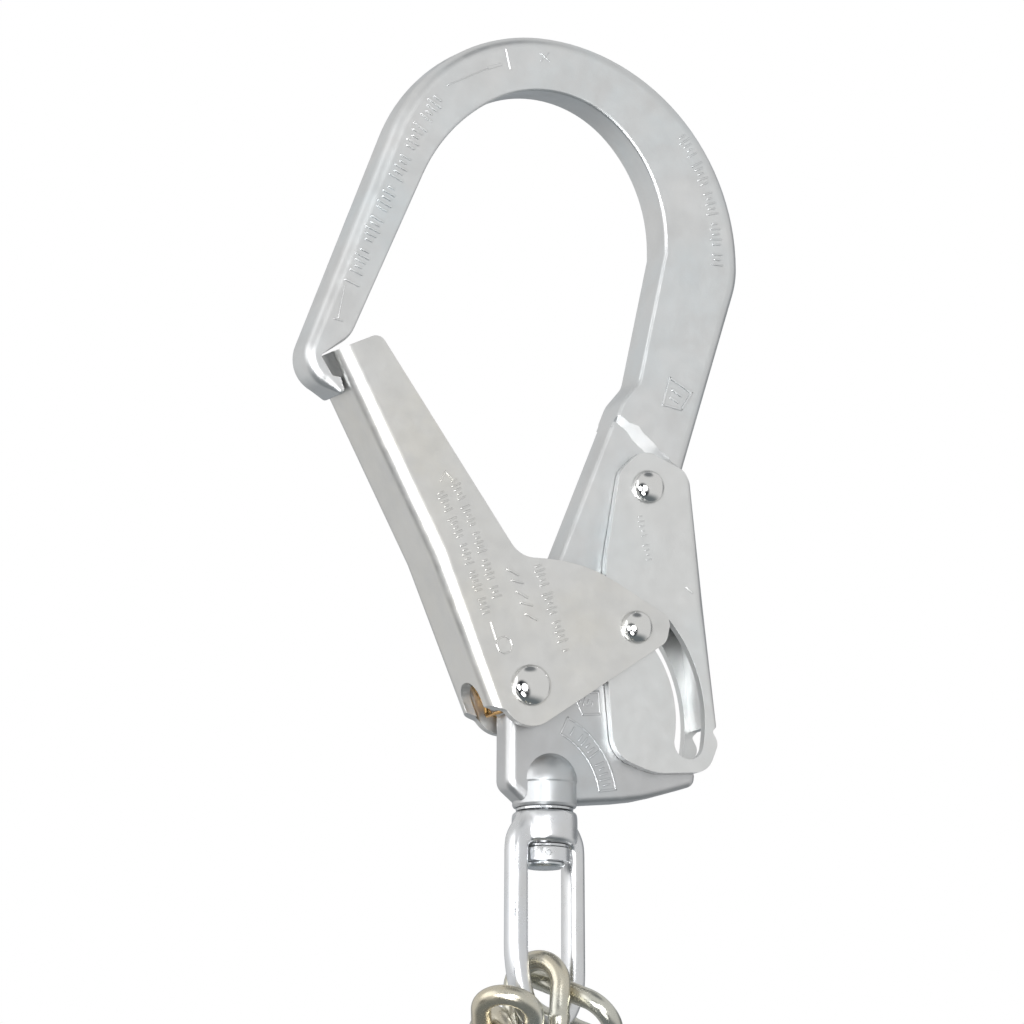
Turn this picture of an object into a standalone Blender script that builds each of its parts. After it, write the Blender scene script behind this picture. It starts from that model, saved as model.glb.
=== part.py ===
"""Large-opening double-action snap hook with a swivel eye and the first links of its chain.

The hook is a flat forging with a wide bowl. A folded steel gate closes its mouth and turns on a
rivet low on the spine. The gate's tail carries a second rivet with a sleeve, which sits in a notch
of the lock lever behind it, so the lever has to be squeezed before the gate can open. Below them a
stud hangs the eye, which turns freely, and the chain hangs from the eye.

The hook lies in the XZ plane with its front face towards -Y. The origin is the inner top of the
bowl on the swivel axis, which is the Z axis. All constants are in millimetres and degrees.
"""

import math

import bmesh
import bpy
from mathutils import Matrix, Vector

MM = 0.001

# Forging
BOWL_THICK = 12.0          # bowl, nose and spine
PIVOT_THICK = 9.3          # thinner stretch that the gate and the lever straddle
CROWN_Z = 14.9             # outer top of the bowl
BOWL_MID_X = -3.0          # the crown's highest point
ARM_LEAN = 22.2            # outer edge of the nose arm, from vertical
INNER_LEAN = 24.7          # inner edge of the nose arm, from vertical
SPINE_LEAN = 17.0          # outer edge of the spine, from vertical

# Pivots, as (x, z)
GATE_PIVOT = (-8.6, -161.5)
LEVER_PIVOT = (27.1, -105.4)
LOCK_RADIUS = 35.5         # lock rivet from the gate pivot
LOCK_ANGLE = 29.7          # its place at rest, above horizontal
GATE_TRAVEL = 47.0
LEVER_TRAVEL = 12.0

# Folded sheet
SHEET = 2.5
GATE_HALF = 10.25          # half the gate's outer width
LEVER_HALF = 7.45
BEND = 3.0                 # outer bend radius

# Rivets and bushes: diameters
GATE_SHANK, GATE_BUSH, GATE_HEAD = 5.2, 7.4, 11.1
LEVER_SHANK, LEVER_BUSH, LEVER_HEAD = 4.4, 6.6, 9.1
LOCK_SHANK, LOCK_SLEEVE, LOCK_HEAD = 5.0, 8.0, 8.9
HEAD_RISE = 3.0            # height of a domed head
RUN_GAP = 0.3              # clearance where two pieces meet

# Swivel
BOSS_R = 8.75
BOSS_BOTTOM = -192.4
STUD_R = 4.3
COLLAR_TOP, COLLAR_BOTTOM = -193.4, -202.3
NUT_R = 6.8
NUT_TOP, NUT_BOTTOM = -203.2, -207.0
STUD_END = -208.4
EYE_TURN = 19.0            # the eye's plane about Z
EYE_DEPTH = 6.2
EYE_HALF_IN, EYE_HALF_OUT = 7.9, 13.4
EYE_BENDS = (-228.6, -236.0)       # where the left and the right leg start to bend
EYE_FOOT_IN, EYE_FOOT_OUT = -247.8, -253.3

# Locking pin through the nut
PIN_Z = (NUT_TOP + NUT_BOTTOM) / 2
PIN_R = 0.75
PIN_TURN = -17.0           # from the front, about Z

# Springs
GATE_WIRE = 1.1
GATE_COIL_R = 4.9
LEVER_WIRE = 0.9
LEVER_COIL_R = 2.3

# Chain
CHAIN_WIRE = 5.4
LINK_HALF_LENGTH = 15.5    # half the length between wire centres
LINK_HALF_WIDTH = 7.0      # half the width between wire centres
LINK_SIDES = 12            # points round half a link's bend

# Where each link lies: its middle, then its heading about Z, its nod and its sway
LINKS = {
    "chain_link_1": ((-3.4, -1.6, -248.5), (-53.0, -3.5, 1.0)),
    "chain_link_2": ((7.7, 3.0, -244.6), (101.0, -42.5, 59.8)),
    "chain_link_3": ((-11.7, -2.3, -252.7), (-41.4, 57.1, 13.2)),
    "chain_link_4": ((-14.4, 10.0, -261.0), (98.6, 0.8, -39.1)),
}
LINK_PIVOTS = {
    "chain_link_1": (-5.8, -2.0, -246.6),
    "chain_link_2": (7.4, 2.5, -245.9),
    "chain_link_3": (-7.4, 2.4, -261.3),
    "chain_link_4": (-13.3, 9.3, -257.7),
}

STEEL = (0.62, 0.64, 0.66, 1.0)
BRASS = (0.62, 0.42, 0.16, 1.0)
CHROMATE = (0.56, 0.52, 0.38, 1.0)


# ---------------------------------------------------------------- outlines

def polar(centre, radius, degrees):
    """The point at a distance and an angle from a centre, in the XZ plane."""
    angle = math.radians(degrees)
    return (centre[0] + radius * math.cos(angle), centre[1] + radius * math.sin(angle))


def arc(centre, radius, start, end, step=8.0):
    """Points along an arc, both ends included."""
    count = max(2, math.ceil(abs(end - start) / step))
    return [polar(centre, radius, start + (end - start) * i / count) for i in range(count + 1)]


def sharp(points):
    """Give plain points the corner radius 0."""
    return [(x, z, 0.0) for x, z in points]


def rounded(corners, step=18.0):
    """A closed outline from (x, z, radius) corners, each radius becoming an arc."""
    outline = []
    for i, (x, z, radius) in enumerate(corners):
        here = Vector((x, z))
        if radius == 0.0:
            outline.append((x, z))
            continue
        before = (Vector(corners[i - 1][:2]) - here).normalized()
        after = (Vector(corners[(i + 1) % len(corners)][:2]) - here).normalized()
        half = before.angle(after) / 2
        centre = here + (before + after).normalized() * (radius / math.sin(half))
        start = here + before * (radius / math.tan(half)) - centre
        sweep = math.pi - 2 * half
        turn = -1.0 if before.x * after.y - before.y * after.x > 0 else 1.0
        count = max(1, math.ceil(math.degrees(sweep) / step))
        for k in range(count + 1):
            angle = turn * sweep * k / count
            cos, sin = math.cos(angle), math.sin(angle)
            outline.append((centre.x + start.x * cos - start.y * sin,
                            centre.y + start.x * sin + start.y * cos))
    return outline


def turned_about(point, centre, degrees):
    """A point of the XZ plane turned by the right-hand rule about +Y."""
    angle = math.radians(degrees)
    x, z = point[0] - centre[0], point[1] - centre[1]
    return (centre[0] + x * math.cos(angle) + z * math.sin(angle),
            centre[1] - x * math.sin(angle) + z * math.cos(angle))


# ---------------------------------------------------------------- scene helpers

def clear_scene():
    for obj in list(bpy.data.objects):
        bpy.data.objects.remove(obj, do_unlink=True)


def new_collection(name):
    collection = bpy.data.collections.new(name)
    bpy.context.scene.collection.children.link(collection)
    return collection


def metal(name, color, roughness):
    material = bpy.data.materials.new(name)
    material.use_nodes = True
    shader = material.node_tree.nodes["Principled BSDF"]
    shader.inputs["Base Color"].default_value = color
    shader.inputs["Metallic"].default_value = 1.0
    shader.inputs["Roughness"].default_value = roughness
    return material


clear_scene()
PARTS = new_collection("snap_hook")
CUTTERS = new_collection("cutters")


def place(name, data, collection, origin=(0.0, 0.0, 0.0)):
    """Link an object whose data is in place, and move its origin to a pivot given in millimetres."""
    obj = bpy.data.objects.new(name, data)
    collection.objects.link(obj)
    offset = Vector(origin) * MM
    data.transform(Matrix.Translation(-offset))
    obj.location = offset
    return obj


def face_outward(mesh):
    """Make a closed mesh's faces point out of it."""
    bm = bmesh.new()
    bm.from_mesh(mesh)
    bmesh.ops.remove_doubles(bm, verts=bm.verts, dist=1e-6)
    if bm.calc_volume(signed=True) < 0:
        bmesh.ops.reverse_faces(bm, faces=bm.faces)
    bm.to_mesh(mesh)
    bm.free()


def slab_mesh(name, loops, y_low, y_high):
    """Extrude flat XZ outlines, the first outer and the rest holes, from y_low to y_high."""
    curve = bpy.data.curves.new(name, "CURVE")
    curve.dimensions = "2D"
    curve.fill_mode = "BOTH"
    curve.extrude = (y_high - y_low) / 2 * MM
    for loop in loops:
        spline = curve.splines.new("POLY")
        spline.points.add(len(loop) - 1)
        for point, (x, z) in zip(spline.points, loop):
            point.co = (x * MM, z * MM, 0.0, 1.0)
        spline.use_cyclic_u = True
    blank = bpy.data.objects.new(name + "_blank", curve)
    CUTTERS.objects.link(blank)
    graph = bpy.context.evaluated_depsgraph_get()
    mesh = bpy.data.meshes.new_from_object(blank.evaluated_get(graph), depsgraph=graph)
    bpy.data.objects.remove(blank, do_unlink=True)
    upright = Matrix.Rotation(math.radians(90), 4, "X")
    mesh.transform(Matrix.Translation((0, (y_low + y_high) / 2 * MM, 0)) @ upright)
    face_outward(mesh)
    mesh.name = name
    return mesh


def turned_mesh(name, profile, steps, along="Z", at=(0.0, 0.0, 0.0)):
    """Turn a closed (radius, height) profile about its axis and set it along Z or along Y."""
    bm = bmesh.new()
    ring = [bm.verts.new((r * MM, 0.0, h * MM)) for r, h in profile]
    for i, vert in enumerate(ring):
        follower = ring[(i + 1) % len(ring)]
        if profile[i][0] > 0 or profile[(i + 1) % len(ring)][0] > 0:
            bm.edges.new((vert, follower))
    mesh = bpy.data.meshes.new(name)
    bm.to_mesh(mesh)
    bm.free()
    blank = bpy.data.objects.new(name + "_blank", mesh)
    CUTTERS.objects.link(blank)
    screw = blank.modifiers.new("turn", "SCREW")
    screw.steps = screw.render_steps = steps
    screw.use_merge_vertices = True
    screw.merge_threshold = 1e-6
    graph = bpy.context.evaluated_depsgraph_get()
    solid = bpy.data.meshes.new_from_object(blank.evaluated_get(graph), depsgraph=graph)
    bpy.data.objects.remove(blank, do_unlink=True)
    if along == "Y":
        solid.transform(Matrix.Rotation(math.radians(90), 4, "X"))
    solid.transform(Matrix.Translation(Vector(at) * MM))
    face_outward(solid)
    solid.name = name
    return solid


def rod_mesh(name, radius, start, end, segments=24):
    """A plain round bar between two points."""
    begin, finish = Vector(start) * MM, Vector(end) * MM
    along = finish - begin
    bm = bmesh.new()
    bmesh.ops.create_cone(bm, cap_ends=True, segments=segments, radius1=radius * MM,
                          radius2=radius * MM, depth=along.length)
    turn = along.to_track_quat("Z", "Y").to_matrix().to_4x4()
    bm.transform(Matrix.Translation((begin + finish) / 2) @ turn)
    mesh = bpy.data.meshes.new(name)
    bm.to_mesh(mesh)
    bm.free()
    face_outward(mesh)
    return mesh


def cutter(mesh):
    tool = place(mesh.name, mesh, CUTTERS)
    tool.hide_render = True
    tool.display_type = "WIRE"
    return tool


def combine(obj, mesh, operation):
    modifier = obj.modifiers.new(mesh.name, "BOOLEAN")
    modifier.operation = operation
    modifier.solver = "EXACT"
    modifier.object = cutter(mesh)


def part(name, mesh, material, pivot=(0.0, 0.0, 0.0)):
    """Link a finished piece, shaded smooth but for its sharp edges."""
    obj = place(name, mesh, PARTS, pivot)
    mesh.shade_smooth()
    mesh.set_sharp_from_angle(angle=math.radians(35))
    mesh.materials.append(material)
    return obj


def wire_part(name, points, wire, material, pivot=(0.0, 0.0, 0.0), closed=False):
    """A round wire through a list of points."""
    curve = bpy.data.curves.new(name, "CURVE")
    curve.dimensions = "3D"
    curve.bevel_depth = wire / 2 * MM
    curve.bevel_resolution = 2
    curve.use_fill_caps = not closed
    spline = curve.splines.new("POLY")
    spline.points.add(len(points) - 1)
    for point, co in zip(spline.points, points):
        point.co = (*(Vector(co) * MM), 1.0)
    spline.use_cyclic_u = closed
    curve.materials.append(material)
    return place(name, curve, PARTS, pivot)


def bend_edges(mesh, line, half, radius, segments):
    """Round the long outer edges of a block along the stretch that its web follows."""
    corners = [Vector((x * MM, side * half * MM, z * MM)) for x, z in line for side in (-1, 1)]
    bm = bmesh.new()
    bm.from_mesh(mesh)
    on_line = {v for v in bm.verts if any((v.co - c).length < 2e-5 for c in corners)}
    edges = [e for e in bm.edges if e.verts[0] in on_line and e.verts[1] in on_line
             and abs(e.verts[0].co.y - e.verts[1].co.y) < 1e-6]
    bmesh.ops.bevel(bm, geom=edges, offset=radius * MM, segments=segments, profile=0.5,
                    affect="EDGES")
    bm.to_mesh(mesh)
    bm.free()


# ---------------------------------------------------------------- forged hook

def hook_outline():
    """The forging's outline: outer edge over the crown, back edge, heel, then the inner edge."""
    left_r, right_r, turn_r = 47.4, 58.3, 24.0
    crown_left = (BOWL_MID_X, CROWN_Z - left_r)
    crown_right = (BOWL_MID_X, CROWN_Z - right_r)
    side_turn = (crown_right[0] + right_r - turn_r, crown_right[1])
    outer = (arc(crown_left, left_r, 180 - ARM_LEAN, 90) + arc(crown_right, right_r, 90, 0)[1:]
             + arc(side_turn, turn_r, 0, -SPINE_LEAN)[1:])

    pocket_r = LOCK_RADIUS - LOCK_SLEEVE / 2 - 2 * RUN_GAP
    pocket = arc(GATE_PIVOT, pocket_r, LOCK_ANGLE + 7, -22)
    ear = arc(GATE_PIVOT, 8.0, 236, 150, 14.0)

    bowl_r, side_r, arm_r = 32.5, 41.0, 47.0
    bowl = (-2.0, -bowl_r)
    side = polar(bowl, bowl_r - side_r, 45)
    arm = polar(bowl, bowl_r - arm_r, 118)
    inner = (arc(side, side_r, 0, 45) + arc(bowl, bowl_r, 45, 118)[1:]
             + arc(arm, arm_r, 118, 180 - INNER_LEAN)[1:])

    return rounded(
        [(-74.1, -81.4, 9.0)] + sharp(outer)
        + [(37.1, -104.4, 30.0), (29.4, -133.2, 3.0)] + sharp(pocket)
        + [(21.0, -177.2, 1.5), (42.3, -180.1, 1.0), (42.3, -184.2, 2.5), (26.0, -189.2, 60.0),
           (6.0, -191.3, 0.0), (-8.0, -191.3, 0.0), (-12.8, -187.4, 4.0), (-12.7, -168.3, 0.0)]
        + sharp(ear)
        + [(-13.6, -155.0, 4.0), (2.6, -124.8, 12.0), (20.4, -82.3, 8.0), (25.1, -76.8, 5.0),
           (32.99, -41.2, 0.0)]
        + sharp(inner)
        + [(-59.0, -71.6, 10.0), (-67.6, -77.1, 0.6), (-64.2, -82.3, 0.6), (-61.9, -82.5, 0.5),
           (-58.9, -88.2, 1.2)])


def forged_hook():
    mesh = slab_mesh("hook_body", [hook_outline()], -BOWL_THICK / 2, BOWL_THICK / 2)
    hook = part("hook_body", mesh, metal("zinc_hook", STEEL, 0.35))

    # the step from the spine's full thickness down to the thinner pivot stretch
    step_line = [(-40.0, -110.0), (9.0, -85.0), (20.7, -85.9), (30.5, -90.6), (41.0, -100.6),
                 (70.0, -110.0), (70.0, -215.0), (-40.0, -215.0)]
    for side in (-1, 1):
        near, far = sorted((side * PIVOT_THICK / 2, side * BOWL_THICK))
        combine(hook, slab_mesh(f"step_{side}", [step_line], near, far), "DIFFERENCE")

    # the swivel boss: a round column whose domed top fades into both faces
    dome_z = -185.7
    boss = [(0.0, dome_z + BOSS_R)]
    boss += [(BOSS_R * math.sin(math.radians(a)), dome_z + BOSS_R * math.cos(math.radians(a)))
             for a in range(15, 91, 15)]
    boss += [(BOSS_R, BOSS_BOTTOM), (0.0, BOSS_BOTTOM)]
    combine(hook, turned_mesh("boss", boss, 32), "UNION")

    bores = [("gate_bore", GATE_BUSH / 2 + 0.15, GATE_PIVOT),
             ("lever_bore", LEVER_BUSH / 2 + 0.15, LEVER_PIVOT)]
    for name, radius, (x, z) in bores:
        combine(hook, rod_mesh(name, radius, (x, -20, z), (x, 20, z)), "DIFFERENCE")
    combine(hook, rod_mesh("stud_bore", STUD_R + 0.2, (0, 0, -182.0), (0, 0, -200.0)), "DIFFERENCE")

    seat, mouth = lever_spring_ends()
    way = (mouth - seat).normalized()
    combine(hook, rod_mesh("spring_bore", LEVER_COIL_R + LEVER_WIRE / 2 + RUN_GAP,
                           seat - way * RUN_GAP, mouth + way * 8.0, 16), "DIFFERENCE")
    return hook


# ---------------------------------------------------------------- gate

def gate_web_line():
    """The web's outer line, from the gate's tip down to its lower end."""
    return [(-64.6, -76.0), (-36.6, -128.9), (-20.2, -167.4)]


def gate_outline():
    tip, knee, foot = gate_web_line()
    return rounded([(*tip, 0.0), (-52.4, -70.7, 3.0), (-11.9, -127.4, 8.0), (7.0, -127.3, 42.0),
                    (32.5, -140.9, 3.4), (31.0, -147.4, 3.4), (-10.4, -175.2, 9.0),
                    (-15.8, -168.6, 2.0), (*foot, 0.0), (*knee, 0.0)])


def web_inside(line, reach):
    """A block outline on the inner side of a web: its outer line moved in by the sheet's thickness."""
    top, middle, low = (Vector(p) for p in line)
    upper, lower = (middle - top).normalized(), (low - middle).normalized()
    inward = [Vector((-d.y, d.x)) * SHEET for d in (upper, lower)]
    return [top + inward[0] - upper * reach, middle + (inward[0] + inward[1]) / 2,
            low + inward[1] + lower * reach]


def gate():
    mesh = slab_mesh("gate", [gate_outline()], -GATE_HALF, GATE_HALF)
    bend_edges(mesh, gate_web_line(), GATE_HALF, BEND, 3)
    x, z = GATE_PIVOT
    piece = part("gate", mesh, metal("zinc_gate", STEEL, 0.35), (x, 0, z))

    inside = [tuple(p) for p in web_inside(gate_web_line(), 20.0)] + [(60.0, -200.0), (60.0, -50.0)]
    combine(piece, slab_mesh("gate_channel", [inside], SHEET - GATE_HALF, GATE_HALF - SHEET),
            "DIFFERENCE")

    # an arched cut-out at the foot of the web clears the hook and shows the spring
    arch_top, arch_half = -160.5, 5.4
    arch = rounded([(arch_half, arch_top, 5.0), (arch_half, -190.0, 0.0), (-arch_half, -190.0, 0.0),
                    (-arch_half, arch_top, 5.0)])
    window = slab_mesh("web_arch", [arch], -45.0, -11.0)
    window.transform(Matrix.Rotation(math.radians(-90), 4, "Z"))
    combine(piece, window, "DIFFERENCE")

    lock = polar(GATE_PIVOT, LOCK_RADIUS, LOCK_ANGLE)
    for name, shank, (bx, bz) in (("gate_hole", GATE_SHANK, GATE_PIVOT),
                                  ("lock_hole", LOCK_SHANK, lock)):
        combine(piece, rod_mesh(name, shank / 2 + RUN_GAP / 2, (bx, -20, bz), (bx, 20, bz)),
                "DIFFERENCE")
    return piece


# ---------------------------------------------------------------- lock lever

def lever_web_line():
    return [(40.4, -104.4), (44.1, -136.0), (47.8, -168.0)]


def slot_centre(gate_degrees, lever_degrees):
    """The lock sleeve's centre as the lever sees it, with the gate and the lever turned so far."""
    sleeve = polar(GATE_PIVOT, LOCK_RADIUS, LOCK_ANGLE - gate_degrees)
    return turned_about(sleeve, LEVER_PIVOT, -lever_degrees)


def lever_slot():
    """The curved slot, its locking notch, and the relief that lets both turn at one steady ratio."""
    radius = LOCK_SLEEVE / 2 + RUN_GAP
    slot_middle = turned_about(GATE_PIVOT, LEVER_PIVOT, -LEVER_TRAVEL)
    top_angle = LOCK_ANGLE + LEVER_TRAVEL
    end_angle = -9.5
    end = polar(slot_middle, LOCK_RADIUS, end_angle)
    entry = polar(slot_middle, LOCK_RADIUS, top_angle)
    notch = slot_centre(0.0, 0.0)
    to_pivot = math.degrees(math.atan2(LEVER_PIVOT[1] - notch[1], LEVER_PIVOT[0] - notch[0]))
    swing = math.dist(notch, LEVER_PIVOT)

    relief = []
    steps = 8
    for k in range(steps + 1):
        share = k / steps
        x, z = slot_centre(GATE_TRAVEL * share, LEVER_TRAVEL * share)
        nx, nz = slot_centre(GATE_TRAVEL * (share + 0.01), LEVER_TRAVEL * (share + 0.01))
        reach = (radius + 0.1) / math.dist((x, z), (nx, nz))
        relief.append((x + (nz - z) * reach, z - (nx - x) * reach))

    outer = arc(slot_middle, LOCK_RADIUS + radius, end_angle, top_angle)
    cap = arc(entry, radius, top_angle, to_pivot + LEVER_TRAVEL, 20.0)[1:]
    roof = arc(LEVER_PIVOT, swing - radius, to_pivot + 180 + LEVER_TRAVEL, to_pivot + 180, 5.0)[1:]
    start = math.degrees(math.atan2(relief[0][1] - notch[1], relief[0][0] - notch[0])) % 360
    corner = arc(notch, radius, to_pivot, start, 20.0)[1:]
    foot = arc(end, radius, 200.0, 360.0 + end_angle, 20.0)[:-1]
    return outer + cap + roof + corner + relief[1:] + foot


def lever_outline():
    top, middle, low = lever_web_line()
    return rounded([(18.9, -101.6, 4.5), (25.6, -95.0, 6.0), (37.6, -100.2, 3.0), (*top, 0.0),
                    (*middle, 0.0), (*low, 0.0), (45.8, -169.9, 0.8), (47.6, -173.0, 3.0),
                    (44.6, -181.0, 6.0), (29.0, -182.2, 14.0), (16.9, -178.2, 8.0),
                    (14.4, -150.0, 40.0), (14.6, -126.0, 30.0)])


def lock_lever():
    mesh = slab_mesh("lock_lever", [lever_outline()], -LEVER_HALF, LEVER_HALF)
    bend_edges(mesh, lever_web_line(), LEVER_HALF, BEND, 3)
    x, z = LEVER_PIVOT
    piece = part("lock_lever", mesh, metal("zinc_lever", STEEL, 0.35), (x, 0, z))

    top, middle, low = web_inside(lever_web_line()[::-1], 0.0)[::-1]
    web_top, web_bottom = -103.2, -168.4
    inside = [(70.0, web_top), (top.x, web_top), tuple(middle), (low.x, web_bottom),
              (70.0, web_bottom), (70.0, -200.0), (0.0, -200.0), (0.0, -80.0), (70.0, -80.0)]
    combine(piece, slab_mesh("lever_channel", [inside], SHEET - LEVER_HALF, LEVER_HALF - SHEET),
            "DIFFERENCE")
    combine(piece, slab_mesh("lever_slot", [lever_slot()], -20.0, 20.0), "DIFFERENCE")
    combine(piece, rod_mesh("lever_hole", LEVER_SHANK / 2 + RUN_GAP / 2, (x, -20, z), (x, 20, z)),
            "DIFFERENCE")
    return piece


# ---------------------------------------------------------------- rivets, bushes, springs

def rivet(name, centre, shank, head, grip, color_name):
    """A rivet with a domed head on each side; grip is half the width between the heads."""
    seat = grip + RUN_GAP / 2
    dome = [(head / 2 * math.sin(math.radians(a)), seat + HEAD_RISE * math.cos(math.radians(a)))
            for a in (0, 20, 40, 60, 78)]
    upper = dome + [(head / 2, seat), (shank / 2, seat)]
    profile = upper + [(r, -h) for r, h in reversed(upper)]
    x, z = centre
    mesh = turned_mesh(name, profile, 24, "Y", (x, 0, z))
    return part(name, mesh, metal(color_name, STEEL, 0.15), (x, 0, z))


def tube(name, centre, outer, inner, half, along="Y", steps=24, material=None):
    """A plain bush, sleeve or washer, its length running from -half to +half."""
    profile = [(outer, half), (outer, -half), (inner, -half), (inner, half)]
    mesh = turned_mesh(name, profile, steps, along, centre)
    return part(name, mesh, material or metal("steel_" + name, STEEL, 0.3), centre)


def gate_spring_points():
    """Leg on the web, front coil, bridge round the hook's edge, back coil, leg: one wire."""
    first, last = 216.0, 169.0 + 720.0
    outer_y, inner_y = 7.0, 5.4
    bridge_x, bridge_z = -14.5, -168.0
    steps = 22
    half = [(-27.0, outer_y - 0.6, -142.6), (-25.4, outer_y, -146.4)]
    for k in range(steps + 1):
        x, z = polar(GATE_PIVOT, GATE_COIL_R, first + (last - first) * k / steps)
        half.append((x, outer_y + (inner_y - outer_y) * k / steps, z))
    half += [(bridge_x, inner_y, bridge_z + 1.2), (bridge_x, inner_y - 0.9, bridge_z)]
    front = [(x, -y, z) for x, y, z in half]
    return front + half[::-1]


def lever_spring_ends():
    """The lever spring's seat in the hook's back edge and its end at the lever's web."""
    return Vector((22.5, 0.0, -124.2)), Vector((39.4, 0.0, -121.9))


def lever_spring_points():
    seat, tip = lever_spring_ends()
    way = (tip - seat).normalized()
    across = Vector((0, 1, 0))
    up = way.cross(across)
    length = (tip - seat).length - LEVER_WIRE
    turns, per_turn = 6.5, 10
    steps = round(turns * per_turn)
    points = []
    for k in range(steps + 1):
        angle = math.radians(360 * turns * k / steps)
        share = k / steps
        closed_end = 0.08
        rise = min(1.0, max(0.0, (share - closed_end) / (1 - 2 * closed_end)))
        along = LEVER_WIRE / 2 + closed_end * min(share, 1 - share, closed_end) + length * rise
        points.append(seat + way * along
                      + (across * math.cos(angle) + up * math.sin(angle)) * LEVER_COIL_R)
    return points


# ---------------------------------------------------------------- swivel

def swivel_eye():
    """The eye: a collar that turns on the stud, and a long loop with a pointed foot."""
    def foot(half, low):
        """Two quarter ellipses of unlike height that meet at the lowest point."""
        points = []
        for bend, angles in ((EYE_BENDS[1], range(0, -90, -10)), (EYE_BENDS[0], range(-90, -181, -10))):
            depth = bend - low
            points += [(half * math.cos(math.radians(a)), bend + depth * math.sin(math.radians(a)), 0.0)
                       for a in angles]
        return points

    outer = rounded([(-8.4, COLLAR_TOP, 0.0), (8.4, COLLAR_TOP, 0.0), (EYE_HALF_OUT - 0.3, -200.2, 9.0)]
                    + foot(EYE_HALF_OUT, EYE_FOOT_OUT) + [(-EYE_HALF_OUT + 0.3, -200.2, 9.0)])
    window = rounded([(EYE_HALF_IN, COLLAR_BOTTOM, 1.5)] + foot(EYE_HALF_IN, EYE_FOOT_IN)
                     + [(-EYE_HALF_IN, COLLAR_BOTTOM, 1.5)])
    mesh = slab_mesh("swivel_eye", [outer, window], -EYE_DEPTH / 2, EYE_DEPTH / 2)
    mesh.transform(Matrix.Rotation(math.radians(EYE_TURN), 4, "Z"))
    eye = part("swivel_eye", mesh, metal("zinc_eye", STEEL, 0.3))
    collar = [(0.0, COLLAR_TOP), (BOSS_R, COLLAR_TOP), (BOSS_R, COLLAR_BOTTOM + 1.0),
              (BOSS_R - 1.5, COLLAR_BOTTOM), (0.0, COLLAR_BOTTOM)]
    combine(eye, turned_mesh("collar", collar, 32), "UNION")
    combine(eye, rod_mesh("collar_bore", STUD_R + 0.2, (0, 0, -190.0), (0, 0, -215.0)), "DIFFERENCE")
    return eye


def swivel_stud():
    """The stud, from its seat in the boss to the button peened over under the nut."""
    button = STUD_R + 1.0
    neck = STUD_R - 0.2
    profile = [(0.0, -182.4), (STUD_R, -182.4), (STUD_R, -202.9), (neck, -203.0),
               (neck, NUT_BOTTOM - 0.2), (button, NUT_BOTTOM - 0.2), (button, STUD_END + 0.5),
               (button - 0.8, STUD_END), (0.0, STUD_END)]
    mesh = turned_mesh("swivel_stud", profile, 24)
    stud = part("swivel_stud", mesh, metal("steel_stud", STEEL, 0.3))
    combine(stud, pin_way("stud_pin_way"), "DIFFERENCE")
    return stud


def pin_line(reach):
    angle = math.radians(PIN_TURN)
    way = Vector((math.sin(angle), -math.cos(angle), 0.0))
    return way * reach + Vector((0, 0, PIN_Z)), way * -reach + Vector((0, 0, PIN_Z))


def pin_way(name):
    start, end = pin_line(12.0)
    return rod_mesh(name, PIN_R + 0.15, start, end, 12)


def swivel_nut():
    profile = [(NUT_R - 0.5, NUT_TOP), (NUT_R, NUT_TOP - 0.5), (NUT_R, NUT_BOTTOM + 0.5),
               (NUT_R - 0.5, NUT_BOTTOM), (STUD_R, NUT_BOTTOM), (STUD_R, NUT_TOP)]
    nut = part("swivel_nut", turned_mesh("swivel_nut", profile, 32), metal("zinc_nut", STEEL, 0.3))
    combine(nut, pin_way("nut_pin_way"), "DIFFERENCE")
    return nut


# ---------------------------------------------------------------- chain

def link_points(middle, turns):
    """A link's wire centre line: two half circles joined by straight sides, then turned and moved."""
    heading, nod, sway = (math.radians(angle) for angle in turns)
    turn = Matrix.Rotation(heading, 3, "Z") @ Matrix.Rotation(nod, 3, "X") @ Matrix.Rotation(sway, 3, "Y")
    straight = LINK_HALF_LENGTH - LINK_HALF_WIDTH
    points = []
    for end in (1, -1):
        for k in range(LINK_SIDES + 1):
            angle = math.pi * k / LINK_SIDES
            local = Vector((end * LINK_HALF_WIDTH * math.cos(angle), 0.0,
                            end * (straight + LINK_HALF_WIDTH * math.sin(angle))))
            points.append(turn @ local + Vector(middle))
    return points


# ---------------------------------------------------------------- build

forged_hook()
gate()
lock_lever()

LOCK = polar(GATE_PIVOT, LOCK_RADIUS, LOCK_ANGLE)
rivet("gate_rivet", GATE_PIVOT, GATE_SHANK, GATE_HEAD, GATE_HALF, "bright_gate_rivet")
rivet("lock_rivet", LOCK, LOCK_SHANK, LOCK_HEAD, GATE_HALF, "bright_lock_rivet")
rivet("lever_rivet", LEVER_PIVOT, LEVER_SHANK, LEVER_HEAD, LEVER_HALF, "bright_lever_rivet")
tube("gate_bush", (GATE_PIVOT[0], 0, GATE_PIVOT[1]), GATE_BUSH / 2, GATE_SHANK / 2 + 0.15,
     GATE_HALF - SHEET - RUN_GAP / 2)
tube("lever_bush", (LEVER_PIVOT[0], 0, LEVER_PIVOT[1]), LEVER_BUSH / 2, LEVER_SHANK / 2 + 0.15,
     LEVER_HALF - SHEET - RUN_GAP / 2)
tube("lock_sleeve", (LOCK[0], 0, LOCK[1]), LOCK_SLEEVE / 2, LOCK_SHANK / 2 + 0.15,
     GATE_HALF - SHEET - RUN_GAP / 2)
wire_part("gate_spring", gate_spring_points(), GATE_WIRE, metal("brass_gate_spring", BRASS, 0.3),
          (GATE_PIVOT[0], 0, GATE_PIVOT[1]))
wire_part("lever_spring", lever_spring_points(), LEVER_WIRE, metal("steel_lever_spring", STEEL, 0.3),
          lever_spring_ends()[0])

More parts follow.
